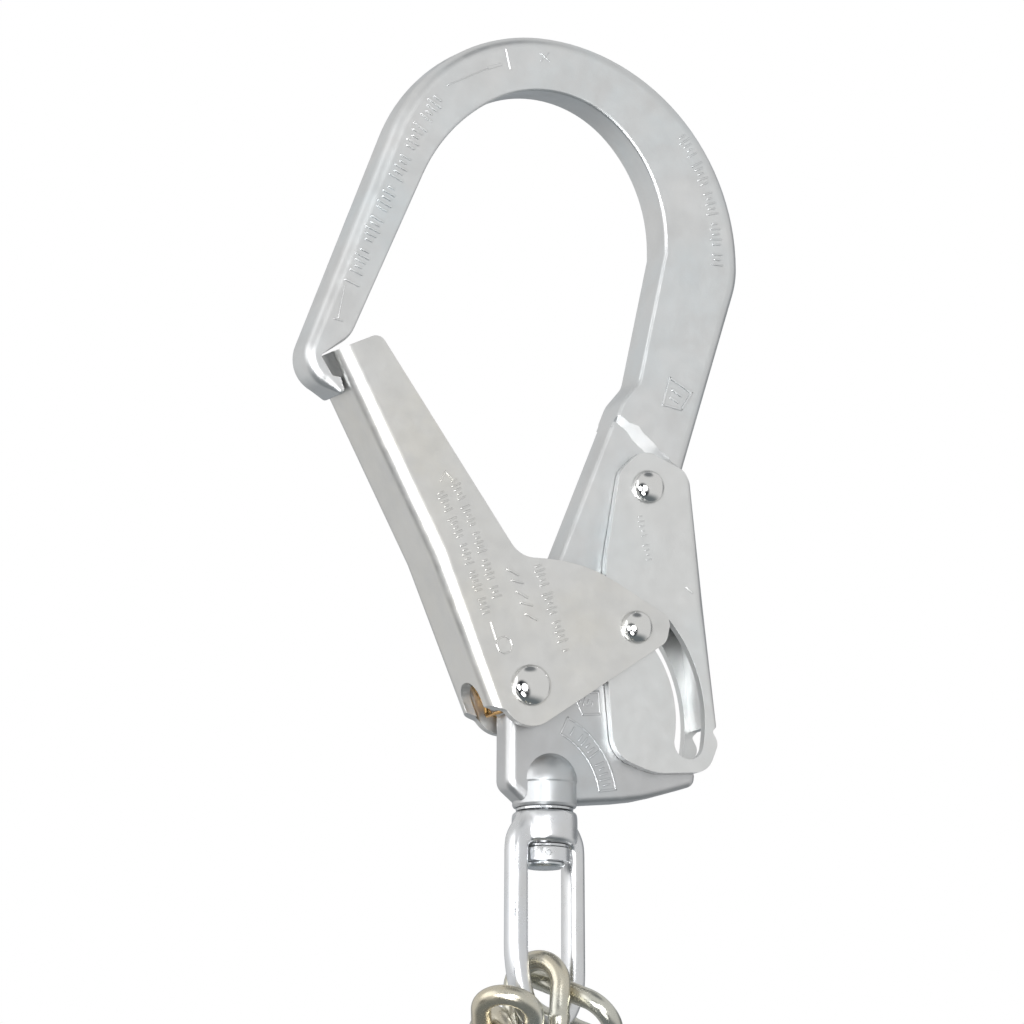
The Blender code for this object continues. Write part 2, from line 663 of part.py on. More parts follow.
swivel_eye()
swivel_stud()
swivel_nut()
tube("thrust_washer", (0, 0, (BOSS_BOTTOM + COLLAR_TOP) / 2), 7.6, STUD_R + 0.25, 0.3, "Z", 32)
tube("nut_washer", (0, 0, (COLLAR_BOTTOM + NUT_TOP) / 2), 6.4, STUD_R + 0.25, 0.3, "Z", 32)
part("nut_pin", rod_mesh("nut_pin", PIN_R, *pin_line(NUT_R - 0.3), 12),
     metal("steel_nut_pin", STEEL, 0.4))

for name, (middle, turns) in LINKS.items():
    wire_part(name, link_points(middle, turns), CHAIN_WIRE, metal("chromate_" + name, CHROMATE, 0.3),
              LINK_PIVOTS[name], closed=True)
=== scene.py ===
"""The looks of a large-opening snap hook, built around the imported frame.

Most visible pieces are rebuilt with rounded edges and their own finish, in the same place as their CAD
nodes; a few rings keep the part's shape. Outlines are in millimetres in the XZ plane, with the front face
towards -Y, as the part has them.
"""

import math

import bmesh
import bpy
from mathutils import Matrix, Vector

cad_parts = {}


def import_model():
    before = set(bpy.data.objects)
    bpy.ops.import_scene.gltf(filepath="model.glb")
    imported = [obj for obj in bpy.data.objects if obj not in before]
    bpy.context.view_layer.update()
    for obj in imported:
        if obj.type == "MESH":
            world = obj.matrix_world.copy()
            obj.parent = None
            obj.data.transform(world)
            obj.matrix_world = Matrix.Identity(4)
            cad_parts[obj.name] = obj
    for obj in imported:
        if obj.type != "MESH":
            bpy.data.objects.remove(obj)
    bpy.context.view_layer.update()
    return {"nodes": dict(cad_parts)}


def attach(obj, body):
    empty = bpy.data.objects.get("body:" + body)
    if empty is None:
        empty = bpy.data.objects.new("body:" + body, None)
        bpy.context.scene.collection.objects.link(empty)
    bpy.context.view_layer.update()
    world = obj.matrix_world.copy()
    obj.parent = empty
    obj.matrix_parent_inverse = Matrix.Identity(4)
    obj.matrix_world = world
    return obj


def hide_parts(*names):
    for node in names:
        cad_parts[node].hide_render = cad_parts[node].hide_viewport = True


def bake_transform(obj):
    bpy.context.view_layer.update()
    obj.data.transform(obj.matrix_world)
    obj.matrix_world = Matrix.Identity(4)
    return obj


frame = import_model()
MM = 0.001

# Forging, as (x, z) places and sizes
BAR_HALF, PIVOT_HALF = 6.0, 4.65
GATE_PIVOT, LEVER_PIVOT = (-8.6, -161.5), (27.1, -105.4)
LOCK_RADIUS, LOCK_ANGLE = 35.5, 29.7
LEVER_TRAVEL = 12.0
SLEEVE_R, SLEEVE_PLAY = 4.0, 0.3
OUTER_EDGE, INNER_EDGE, PLATE_EDGE = 3.3, 0.9, 2.6
GATE_BORE_R, LEVER_BORE_R = 3.85, 3.45

# Folded sheet
SHEET = 2.5
GATE_BEND, LEVER_BEND = 4.3, 3.0
GATE_HALF, LEVER_HALF = 10.25, 7.45
SHEET_EDGE = 0.35

# Swivel
BOSS_R, STUD_R, STUD_PLAY = 8.75, 4.3, 0.2
BOSS_BOTTOM, COLLAR_TOP, COLLAR_BOTTOM = -192.4, -193.4, -202.3
NUT_R, NUT_TOP, NUT_BOTTOM, STUD_END = 6.8, -203.2, -207.0, -208.4
EYE_TURN, EYE_DEPTH, EYE_EDGE, WINDOW_EDGE = 19.0, 6.2, 2.1, 1.5
EYE_HALF_IN, EYE_HALF_OUT = 7.9, 13.4
EYE_BENDS = (-228.6, -236.0)
EYE_FOOT_IN, EYE_FOOT_OUT = -247.8, -253.3
PIN_TURN, PIN_R = -17.0, 0.75

# Chain: where each link lies, as its middle, then its heading about Z, its nod and its sway
CHAIN_WIRE, LINK_HALF_LENGTH, LINK_HALF_WIDTH = 5.4, 15.5, 7.0
LINKS = (((-3.4, -1.6, -248.5), (-53.0, -3.5, 1.0)),
         ((7.7, 3.0, -244.6), (101.0, -42.5, 59.8)),
         ((-11.7, -2.3, -252.7), (-41.4, 57.1, 13.2)),
         ((-14.4, 10.0, -261.0), (98.6, 0.8, -39.1)))

# Springs
GATE_WIRE, GATE_COIL_R = 1.1, 6.3
LEVER_WIRE, LEVER_COIL_R = 0.9, 2.3


# ---------------------------------------------------------------- outlines

def polar(centre, radius, degrees):
    angle = math.radians(degrees)
    return (centre[0] + radius * math.cos(angle), centre[1] + radius * math.sin(angle))


def arc(centre, radius, start, end, edge=None, step=3.0):
    """Points along an arc, both ends included, each with its edge radius where one is given."""
    count = max(2, math.ceil(abs(end - start) / step))
    points = [polar(centre, radius, start + (end - start) * i / count) for i in range(count + 1)]
    return points if edge is None else [(x, z, edge) for x, z in points]


def rounded(corners, step=8.0):
    """A closed outline of (x, z, edge) from (x, z, corner radius, edge radius) corners.

    A corner given as (x, z, edge) is kept as it is."""
    outline = []
    for i, corner in enumerate(corners):
        if len(corner) == 3:
            outline.append(corner)
            continue
        x, z, radius, edge = corner
        here = Vector((x, z))
        before = (Vector(corners[i - 1][:2]) - here).normalized()
        after = (Vector(corners[(i + 1) % len(corners)][:2]) - here).normalized()
        half = before.angle(after) / 2
        centre = here + (before + after).normalized() * (radius / math.sin(half))
        start = here + before * (radius / math.tan(half)) - centre
        sweep = math.pi - 2 * half
        turn = -1.0 if before.x * after.y - before.y * after.x > 0 else 1.0
        count = max(2, math.ceil(math.degrees(sweep) / step))
        for k in range(count + 1):
            angle = turn * sweep * k / count
            cos, sin = math.cos(angle), math.sin(angle)
            outline.append((centre.x + start.x * cos - start.y * sin,
                            centre.y + start.x * sin + start.y * cos, edge))
    return outline


def flat(outline):
    return [(p[0], p[1]) for p in outline]


def turned_about(point, centre, degrees):
    """A point of the XZ plane turned by the right-hand rule about +Y."""
    angle = math.radians(degrees)
    x, z = point[0] - centre[0], point[1] - centre[1]
    return (centre[0] + x * math.cos(angle) + z * math.sin(angle),
            centre[1] - x * math.sin(angle) + z * math.cos(angle))


def signed_area(loop):
    return sum(a[0] * b[1] - b[0] * a[1] for a, b in zip(loop, loop[1:] + loop[:1])) / 2


# ---------------------------------------------------------------- meshes

def mesh_from(bm, name):
    """Close a bmesh into a mesh whose faces look outwards."""
    bmesh.ops.remove_doubles(bm, verts=bm.verts, dist=1e-6)
    if bm.calc_volume(signed=True) < 0:
        bmesh.ops.reverse_faces(bm, faces=bm.faces)
    mesh = bpy.data.meshes.new(name)
    bm.to_mesh(mesh)
    bm.free()
    return mesh


def skin_between(bm, low, high):
    for i in range(len(low)):
        j = (i + 1) % len(low)
        bm.faces.new((low[i], low[j], high[j], high[i]))


def rounded_slab(name, loop, half, steps=6):
    """A flat piece from -half to half in Y whose edges are rounded by each point's edge radius."""
    bm = bmesh.new()
    loop = [loop[i] for i in range(len(loop)) if math.dist(loop[i][:2], loop[i - 1][:2]) > 1e-4]
    if signed_area(loop) < 0:
        loop = loop[::-1]
    inward = []
    for i, (x, z, _) in enumerate(loop):
        ahead = loop[(i + 1) % len(loop)]
        into = Vector((x - loop[i - 1][0], z - loop[i - 1][1])).normalized()
        out = Vector((ahead[0] - x, ahead[1] - z)).normalized()
        n1, n2 = Vector((-into.y, into.x)), Vector((-out.y, out.x))
        inward.append((n1 + n2) / max(0.35, 1 + n1.dot(n2)))

    def ring(turn, side):
        verts = []
        for (x, z, edge), m in zip(loop, inward):
            d = edge * (1 - math.cos(turn))
            y = half - edge * (1 - math.sin(turn))
            verts.append(bm.verts.new(((x + m.x * d) * MM, side * y * MM, (z + m.y * d) * MM)))
        return verts

    turns = [math.pi / 2 * k / steps for k in range(steps + 1)]
    rings = [ring(turn, -1) for turn in turns[::-1]] + [ring(turn, 1) for turn in turns]
    for low, high in zip(rings, rings[1:]):
        skin_between(bm, low, high)
    bm.faces.new(rings[0])
    bm.faces.new(rings[-1])
    bmesh.ops.recalc_face_normals(bm, faces=bm.faces)
    return mesh_from(bm, name)


def loft(name, loop_a, y_a, loop_b, y_b):
    """A solid between two flat outlines with the same number of points."""
    bm = bmesh.new()
    low = [bm.verts.new((x * MM, y_a * MM, z * MM)) for x, z in loop_a]
    high = [bm.verts.new((x * MM, y_b * MM, z * MM)) for x, z in loop_b]
    skin_between(bm, low, high)
    bm.faces.new(low)
    bm.faces.new(high)
    bmesh.ops.recalc_face_normals(bm, faces=bm.faces)
    return mesh_from(bm, name)


def slab(name, loop, y_low, y_high):
    return loft(name, loop, y_low, loop, y_high)


def turned(name, profile, steps=64, along="Z", at=(0.0, 0.0, 0.0)):
    """Turn a closed (radius, height) profile about its axis and set it along Z or along Y."""
    bm = bmesh.new()
    rings = []
    for r, h in profile:
        count = 1 if r < 1e-6 else steps
        rings.append([bm.verts.new((r * math.cos(2 * math.pi * k / steps) * MM,
                                    r * math.sin(2 * math.pi * k / steps) * MM, h * MM))
                      for k in range(count)])
    for i, ring in enumerate(rings):
        other = rings[(i + 1) % len(rings)]
        if len(ring) == 1 and len(other) == 1:
            continue
        for k in range(steps):
            n = (k + 1) % steps
            corners = [ring[k % len(ring)], ring[n % len(ring)],
                       other[n % len(other)], other[k % len(other)]]
            unique = []
            for v in corners:
                if v not in unique:
                    unique.append(v)
            bm.faces.new(unique)
    bmesh.ops.recalc_face_normals(bm, faces=bm.faces)
    if along == "Y":
        bm.transform(Matrix.Rotation(math.radians(90), 4, "X"))
    bm.transform(Matrix.Translation(Vector(at) * MM))
    return mesh_from(bm, name)


def rod(name, radius, start, end, segments=32):
    begin, finish = Vector(start) * MM, Vector(end) * MM
    along = finish - begin
    bm = bmesh.new()
    bmesh.ops.create_cone(bm, cap_ends=True, segments=segments, radius1=radius * MM,
                          radius2=radius * MM, depth=along.length)
    turn = along.to_track_quat("Z", "Y").to_matrix().to_4x4()
    bm.transform(Matrix.Translation((begin + finish) / 2) @ turn)
    return mesh_from(bm, name)


def tube_mesh(name, points, radius, sides=16, closed=False):
    """A round wire along points, with caps, whose section is carried along without twisting."""
    path = [Vector(p) * MM for p in points]
    count = len(path)
    bm = bmesh.new()
    rings = []
    across = None
    for i, p in enumerate(path):
        ahead = path[(i + 1) % count] if closed or i < count - 1 else p
        behind = path[i - 1] if closed or i > 0 else p
        way = (ahead - behind).normalized()
        if across is None:
            across = way.orthogonal().normalized()
        across = (across - way * across.dot(way)).normalized()
        up = way.cross(across)
        rings.append([bm.verts.new(p + (across * math.cos(2 * math.pi * k / sides)
                                        + up * math.sin(2 * math.pi * k / sides)) * radius * MM)
                      for k in range(sides)])
    for low, high in zip(rings, rings[1:]):
        skin_between(bm, low, high)
    if closed:
        first, last = rings[0], rings[-1]
        shift = min(range(sides), key=lambda s: sum((last[k].co - first[(k + s) % sides].co).length
                                                    for k in range(sides)))
        skin_between(bm, last, [first[(k + shift) % sides] for k in range(sides)])
    else:
        bm.faces.new(rings[0])
        bm.faces.new(rings[-1])
    bmesh.ops.recalc_face_normals(bm, faces=bm.faces)
    return mesh_from(bm, name)


def evaluated(obj):
    graph = bpy.context.evaluated_depsgraph_get()
    return bpy.data.meshes.new_from_object(obj.evaluated_get(graph), depsgraph=graph)


def combined(mesh, other, operation):
    """Join or cut one mesh with another, and return the result."""
    base = bpy.data.objects.new("base", mesh)
    tool = bpy.data.objects.new("tool", other)
    for obj in (base, tool):
        bpy.context.scene.collection.objects.link(obj)
    modifier = base.modifiers.new("combine", "BOOLEAN")
    modifier.operation = operation
    modifier.solver = "EXACT"
    modifier.object = tool
    result = evaluated(base)
    result.name = mesh.name
    for obj in (base, tool):
        bpy.data.objects.remove(obj, do_unlink=True)
    return result


def cut(mesh, *tools):
    for tool in tools:
        mesh = combined(mesh, tool, "DIFFERENCE")
    return mesh


def joined(mesh, *others):
    for other in others:
        mesh = combined(mesh, other, "UNION")
    return mesh


def eased(mesh, width, segments=3, angle=38.0, weld=0.2):
    """Break every edge sharper than an angle, once points that all but meet are one."""
    bm = bmesh.new()
    bm.from_mesh(mesh)
    bmesh.ops.remove_doubles(bm, verts=bm.verts, dist=weld * MM)
    bmesh.ops.dissolve_degenerate(bm, edges=bm.edges, dist=1e-6)
    bm.to_mesh(mesh)
    bm.free()
    obj = bpy.data.objects.new("eased", mesh)
    bpy.context.scene.collection.objects.link(obj)
    bevel = obj.modifiers.new("edges", "BEVEL")
    bevel.width = width * MM
    bevel.segments = segments
    bevel.limit_method = "ANGLE"
    bevel.angle_limit = math.radians(angle)
    bevel.use_clamp_overlap = True
    result = evaluated(obj)
    bpy.data.objects.remove(obj, do_unlink=True)
    return result


def forged(mesh, voxel=0.4, rounds=55):
    """Melt a piece's edges and inner corners together, as a drop forging has them."""
    obj = bpy.data.objects.new("forged", mesh)
    bpy.context.scene.collection.objects.link(obj)
    remesh = obj.modifiers.new("remesh", "REMESH")
    remesh.mode = "VOXEL"
    remesh.voxel_size = voxel * MM
    smooth = obj.modifiers.new("melt", "SMOOTH")
    smooth.factor = 0.5
    smooth.iterations = rounds
    result = evaluated(obj)
    bpy.data.objects.remove(obj, do_unlink=True)
    return result


def piece(name, mesh, material, body, slot, *nodes, sharp=32.0):
    """Link a finished piece, and say what it rides on and which CAD nodes it stands for."""
    obj = bpy.data.objects.new(name, mesh)
    bpy.context.scene.collection.objects.link(obj)
    mesh.materials.clear()
    mesh.materials.append(material)
    mesh.shade_smooth()
    mesh.set_sharp_from_angle(angle=math.radians(sharp))
    normals = obj.modifiers.new("normals", "WEIGHTED_NORMAL")
    normals.keep_sharp = True
    normals.weight = 100
    if nodes:
        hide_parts(*nodes)
    if body:
        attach(obj, body)
    return obj


# ---------------------------------------------------------------- finishes

def mixed(tree, factor, a, b, kind="MIX"):
    """One colour over another, where each input is a plain value or the output of a node."""
    node = tree.nodes.new("ShaderNodeMix")
    node.data_type = "RGBA"
    node.blend_type = kind
    sockets = {s.name: s for s in node.inputs if s.enabled}
    for name, value in (("Factor", factor), ("A", a), ("B", b)):
        if isinstance(value, (tuple, float)):
            sockets[name].default_value = value
        else:
            tree.links.new(value, sockets[name])
    return [s for s in node.outputs if s.enabled][0]


def finish_metal(name, base, tint, roughness, cloud=0.05, grain=0.15, pit=0.0, metal=1.0, heel=1.0):
    """Plated metal: cloudy tone, a slight interference tint, fine grain and shallow pits.

    heel is the share of its brightness kept low on the hook, where the colour is darkened as painted shade."""
    material = bpy.data.materials.new(name)
    material.use_nodes = True
    tree = material.node_tree
    shader = tree.nodes["Principled BSDF"]
    shader.inputs["Metallic"].default_value = metal
    place = tree.nodes.new("ShaderNodeTexCoord").outputs["Object"]

    def noise(scale, detail=4.0, rough=0.55):
        node = tree.nodes.new("ShaderNodeTexNoise")
        node.inputs["Scale"].default_value = scale
        node.inputs["Detail"].default_value = detail
        node.inputs["Roughness"].default_value = rough
        tree.links.new(place, node.inputs["Vector"])
        return node.outputs["Fac"]

    def spread(value, low, high, to_low, to_high):
        node = tree.nodes.new("ShaderNodeMapRange")
        node.inputs["From Min"].default_value = low
        node.inputs["From Max"].default_value = high
        node.inputs["To Min"].default_value = to_low
        node.inputs["To Max"].default_value = to_high
        tree.links.new(value, node.inputs["Value"])
        return node.outputs["Result"]

    plain = (*base, 1.0)
    tinted = tuple(b * t for b, t in zip(base, tint)) + (1.0,)
    darker = tuple(b * (1 - cloud * 1.6) for b in base) + (1.0,)
    tone = mixed(tree, spread(noise(38.0), 0.38, 0.66, 0.0, 1.0), plain, tinted)
    tone = mixed(tree, spread(noise(95.0, 5.0), 0.45, 0.72, 0.0, 1.0), tone, darker)
    # painted shade: the colour darkens from z -115 mm to -175 mm, low on the hook
    if heel < 1.0:
        split = tree.nodes.new("ShaderNodeSeparateXYZ")
        tree.links.new(place, split.inputs["Vector"])
        painted_low_shade = mixed(tree, 1.0, tone, (heel, heel, heel * 1.01, 1.0), "MULTIPLY")
        fade_from, fade_to = -115.0 * MM, -175.0 * MM
        tone = mixed(tree, spread(split.outputs["Z"], fade_from, fade_to, 0.0, 1.0), tone, painted_low_shade)
    tree.links.new(tone, shader.inputs["Base Color"])

    rough = spread(noise(260.0, 5.0), 0.3, 0.7, roughness - 0.06, roughness + 0.07)
    tree.links.new(rough, shader.inputs["Roughness"])

    bump = tree.nodes.new("ShaderNodeBump")
    bump.inputs["Strength"].default_value = grain
    bump.inputs["Distance"].default_value = 0.00012
    tree.links.new(noise(700.0, 3.0), bump.inputs["Height"])
    broad = tree.nodes.new("ShaderNodeBump")
    broad.inputs["Strength"].default_value = pit
    broad.inputs["Distance"].default_value = 0.0006
    tree.links.new(noise(85.0, 2.0), broad.inputs["Height"])
    tree.links.new(bump.outputs["Normal"], broad.inputs["Normal"])
    tree.links.new(broad.outputs["Normal"], shader.inputs["Normal"])
    return material


# the forging's colour carries painted shade low on the hook, set by heel
FORGING = finish_metal("zinc_forging", (0.70, 0.705, 0.705), (0.95, 0.99, 1.01), 0.38,
                       cloud=0.05, grain=0.16, pit=0.10, metal=0.92, heel=0.80)
SHEET_ZINC = finish_metal("zinc_sheet", (0.70, 0.70, 0.69), (1.0, 0.985, 0.95), 0.38,
                          cloud=0.035, grain=0.06, pit=0.03, metal=0.95)
LEVER_ZINC = finish_metal("zinc_lever", (0.73, 0.735, 0.73), (0.98, 1.0, 1.01), 0.38,
                          cloud=0.03, grain=0.06, pit=0.03, metal=0.95)
POLISHED = finish_metal("bright_rivet", (0.80, 0.80, 0.79), (1.0, 0.99, 0.97), 0.11, cloud=0.02, grain=0.02)
EYE_ZINC = finish_metal("zinc_eye", (0.76, 0.765, 0.77), (0.98, 1.0, 1.03), 0.30, cloud=0.03, grain=0.0)
TURNED = finish_metal("turned_steel", (0.66, 0.67, 0.68), (0.95, 1.0, 1.03), 0.24, cloud=0.04, grain=0.08)
DARK_STEEL = finish_metal("bush_steel", (0.42, 0.43, 0.44), (1.0, 1.0, 1.0), 0.35, cloud=0.05, grain=0.1)
BRASS = finish_metal("spring_brass", (0.60, 0.36, 0.13), (1.05, 0.95, 0.8), 0.25, cloud=0.08, grain=0.05)
CHROMATE = finish_metal("chromate_link", (0.60, 0.60, 0.54), (1.05, 0.95, 0.82), 0.25,
                        cloud=0.10, grain=0.06, pit=0.02, metal=0.92)


# ---------------------------------------------------------------- forged hook

def hook_outline():
    """Outer edge over the crown, back edge, heel, then the inner edge, as (x, z, edge radius)."""
    left_r, right_r, turn_r = 47.4, 58.3, 24.0
    mid_x, crown_z = -3.0, 14.9
    crown_left, crown_right = (mid_x, crown_z - left_r), (mid_x, crown_z - right_r)
    side_turn = (crown_right[0] + right_r - turn_r, crown_right[1])
    outer = (arc(crown_left, left_r, 157.8, 90, OUTER_EDGE)
             + arc(crown_right, right_r, 90, 0, OUTER_EDGE)[1:]
             + arc(side_turn, turn_r, 0, -17.0, OUTER_EDGE)[1:])

    pocket_r = LOCK_RADIUS - SLEEVE_R - 2 * SLEEVE_PLAY
    pocket = arc(GATE_PIVOT, pocket_r, LOCK_ANGLE + 7, -22, 1.6)
    ear = arc(GATE_PIVOT, 8.0, 236, 150, PLATE_EDGE)

    bowl_r, side_r, arm_r = 32.5, 41.0, 47.0
    bowl = (-2.0, -bowl_r)
    side = polar(bowl, bowl_r - side_r, 45)
    arm = polar(bowl, bowl_r - arm_r, 118)
    inner = (arc(side, side_r, 0, 45, INNER_EDGE)
             + arc(bowl, bowl_r, 45, 118, INNER_EDGE)[1:]
             + arc(arm, arm_r, 118, 155.3, INNER_EDGE)[1:])

    nose_tip = [(-74.1, -81.4, 9.0, 2.8)]
    back = [(37.1, -104.4, 30.0, PLATE_EDGE), (29.4, -133.2, 3.0, 1.8)]
    heel = [(21.0, -177.2, 1.9, 1.7), (42.3, -180.1, 1.9, 1.7), (42.3, -184.2, 2.5, 1.9),
            (26.0, -189.2, 60.0, 1.9), (6.0, -191.3, 1.9), (-8.0, -191.3, PLATE_EDGE),
            (-12.8, -187.4, 4.0, PLATE_EDGE), (-12.7, -168.3, PLATE_EDGE)]
    throat = [(-13.6, -155.0, 4.0, 1.8), (2.6, -124.8, 12.0, 1.3), (20.4, -82.3, 8.0, 0.9),
              (25.1, -76.8, 5.0, 1.0), (32.99, -41.2, INNER_EDGE)]
    notch = [(-59.0, -71.6, 10.0, 0.8), (-67.6, -77.1, 0.6, 0.15), (-64.2, -82.3, 0.4, 0.15),
             (-61.9, -82.5, 0.4, 0.15), (-58.9, -88.2, 1.2, 1.0)]
    return rounded(nose_tip + outer + back + pocket + heel + ear + throat + inner + notch)


def hook_body():
    """The thick bar and the thinner pivot stretch, joined at the step, with the boss and the bores."""
    upper = rounded_slab("hook_body", hook_outline(), BAR_HALF)
    lower = rounded_slab("pivot_stretch", hook_outline(), PIVOT_HALF)

    # the bar thins over a sloped lens, and below it the thin stretch has rounded edges of its own
    high = [(19.0, -85.8), (22.2, -88.1), (26.0, -90.2), (29.7, -93.3), (33.5, -96.3), (38.0, -99.6)]
    low = [(19.0, -88.0), (22.1, -90.3), (23.8, -92.6), (27.7, -95.7), (31.9, -98.4), (38.0, -101.8)]
    rest = [(60.0, -112.0), (60.0, -215.0), (-40.0, -215.0), (-40.0, -112.0), (8.0, -86.0)]
    clear = 8.0
    reach = (clear - BAR_HALF) / (BAR_HALF - PIVOT_HALF)
    out = [(h[0] + (h[0] - l[0]) * reach, h[1] + (h[1] - l[1]) * reach) for h, l in zip(high, low)]
    for side in (-1, 1):
        upper = cut(upper, loft("step", low + rest, side * PIVOT_HALF, out + rest, side * clear))

    # the two stretches lap over each other along a seam, inside the lens
    lap = 2.4
    seam = [(-30.0, -88.6), (18.0, -89.2), (23.0, -94.0), (32.0, -100.5), (60.0, -114.0)]
    below = seam + [(60.0, -215.0), (-30.0, -215.0)]
    above = [(x, z + lap) for x, z in seam]
    above += [(80.0, -60.0), (80.0, 30.0), (-90.0, 30.0), (-90.0, -80.0)]
    upper = cut(upper, slab("below", below, -9.0, 9.0))
    lower = cut(lower, slab("above", above, -9.0, 9.0))
    bores = [rod("stud_bore", STUD_R + STUD_PLAY, (0, 0, -184.0), (0, 0, -200.0))]
    for radius, (x, z) in ((GATE_BORE_R, GATE_PIVOT), (LEVER_BORE_R, LEVER_PIVOT)):
        bores.append(rod("bore", radius, (x, -20, z), (x, 20, z)))
    return cut(joined(upper, lower, boss_mesh()), *bores)


def boss_mesh():
    """A round column whose domed top fades into both faces, with a faint step under the dome."""
    dome_z = -185.7
    profile = [(0.0, dome_z + BOSS_R)]
    profile += [(BOSS_R * math.sin(math.radians(a)), dome_z + BOSS_R * math.cos(math.radians(a)))
                for a in range(5, 86, 5)]
    profile += [(BOSS_R - 0.02, dome_z), (BOSS_R - 0.25, dome_z - 0.5), (BOSS_R - 0.2, BOSS_BOTTOM + 0.7),
                (BOSS_R - 0.5, BOSS_BOTTOM + 0.15), (BOSS_R - 0.9, BOSS_BOTTOM), (0.0, BOSS_BOTTOM)]
    return turned("boss", profile, 90)


# ---------------------------------------------------------------- folded sheet

def web_inside(line, reach):
    """The inner side of a web: its outer line moved in by the sheet's thickness."""
    top, middle, low = (Vector(p) for p in line)
    upper, lower = (middle - top).normalized(), (low - middle).normalized()
    inward = [Vector((-d.y, d.x)) * SHEET for d in (upper, lower)]
    return [tuple(top + inward[0] - upper * reach), tuple(middle + (inward[0] + inward[1]) / 2),
            tuple(low + inward[1] + lower * reach)]


def bend_edges(mesh, line, half, radius, segments):
    """Round the folds along both sides of a web, whose outer line is given."""
    corners = [Vector((x * MM, side * half * MM, z * MM)) for x, z in line for side in (-1, 1)]
    bm = bmesh.new()
    bm.from_mesh(mesh)
    on_line = {v for v in bm.verts if any((v.co - c).length < 2e-5 for c in corners)}
    edges = [e for e in bm.edges if e.verts[0] in on_line and e.verts[1] in on_line
             and abs(e.verts[0].co.y - e.verts[1].co.y) < 1e-6]
    bmesh.ops.bevel(bm, geom=edges, offset=radius * MM, segments=segments, profile=0.5, affect="EDGES")
    bm.to_mesh(mesh)
    bm.free()
    return mesh


def gate_mesh():
    """Two cheeks joined by a web along the gate's outer edge."""
    web = [(-64.6, -76.0), (-36.6, -128.9), (-20.2, -167.4)]
    tip, knee, foot = web
    outline = rounded([(*tip, 0.0), (-52.4, -70.7, 3.0, 0.0), (-11.9, -127.4, 8.0, 0.0),
                       (7.0, -127.3, 42.0, 0.0), (32.5, -140.9, 3.4, 0.0), (31.0, -147.4, 3.4, 0.0),
                       (-10.4, -175.2, 8.4, 0.0), (-15.8, -168.6, 2.0, 0.0), (*foot, 0.0), (*knee, 0.0)])
    mesh = slab("gate", flat(outline), -GATE_HALF, GATE_HALF)
    mesh = bend_edges(mesh, web, GATE_HALF, GATE_BEND, 12)
    line = web_inside(web, 20.0)
    inner_half = GATE_HALF - SHEET
    hollow = slab("hollow", line + [(60.0, -200.0), (60.0, -50.0)], -inner_half, inner_half)
    mesh = cut(mesh, bend_edges(hollow, line, inner_half, GATE_BEND - SHEET, 6))

    # an arched window through the web's foot, drawn facing -Y and turned to face -X
    arch_top, arch_bottom, arch_half, arch_r = -160.5, -190.0, 5.4, 5.0
    arch = rounded([(arch_half, arch_top, arch_r, 0.0), (arch_half, arch_bottom, 0.0),
                    (-arch_half, arch_bottom, 0.0), (-arch_half, arch_top, arch_r, 0.0)])
    window = slab("arch", flat(arch), -45.0, -11.0)
    window.transform(Matrix.Rotation(math.radians(-90), 4, "Z"))
    return eased(cut(mesh, window), SHEET_EDGE)


def lever_slot():
    """The curved slot in the lever and the notch that holds the lock sleeve at rest."""
    radius = SLEEVE_R + SLEEVE_PLAY
    middle = turned_about(GATE_PIVOT, LEVER_PIVOT, -LEVER_TRAVEL)
    end_angle, top_angle = -9.5, LOCK_ANGLE + LEVER_TRAVEL
    end, entry = polar(middle, LOCK_RADIUS, end_angle), polar(middle, LOCK_RADIUS, top_angle)
    notch = polar(GATE_PIVOT, LOCK_RADIUS, LOCK_ANGLE)
    to_pivot = math.degrees(math.atan2(LEVER_PIVOT[1] - notch[1], LEVER_PIVOT[0] - notch[0]))
    swing = math.dist(notch, LEVER_PIVOT)
    inner_r = LOCK_RADIUS - radius
    floor_r = swing + radius

    outer = arc(middle, LOCK_RADIUS + radius, end_angle, top_angle)
    cap = arc(entry, radius, top_angle, to_pivot + LEVER_TRAVEL, step=8.0)[1:]
    roof = arc(LEVER_PIVOT, swing - radius, to_pivot + 180 + LEVER_TRAVEL, to_pivot + 180)[1:]
    corner = arc(notch, radius, to_pivot, to_pivot + 180, step=8.0)[1:]
    floor = []
    angle = to_pivot + 180
    while math.dist(polar(LEVER_PIVOT, floor_r, angle), middle) < inner_r and angle < to_pivot + 200:
        floor.append(polar(LEVER_PIVOT, floor_r, angle))
        angle += 1.0
    crossing = polar(LEVER_PIVOT, floor_r, angle - 1.0)
    start = math.degrees(math.atan2(crossing[1] - middle[1], crossing[0] - middle[0]))
    inner = arc(middle, inner_r, start, end_angle)
    foot = arc(end, radius, end_angle + 180.0, end_angle + 360.0, step=8.0)[1:-1]
    return outer + cap + roof + corner + floor[1:] + inner + foot


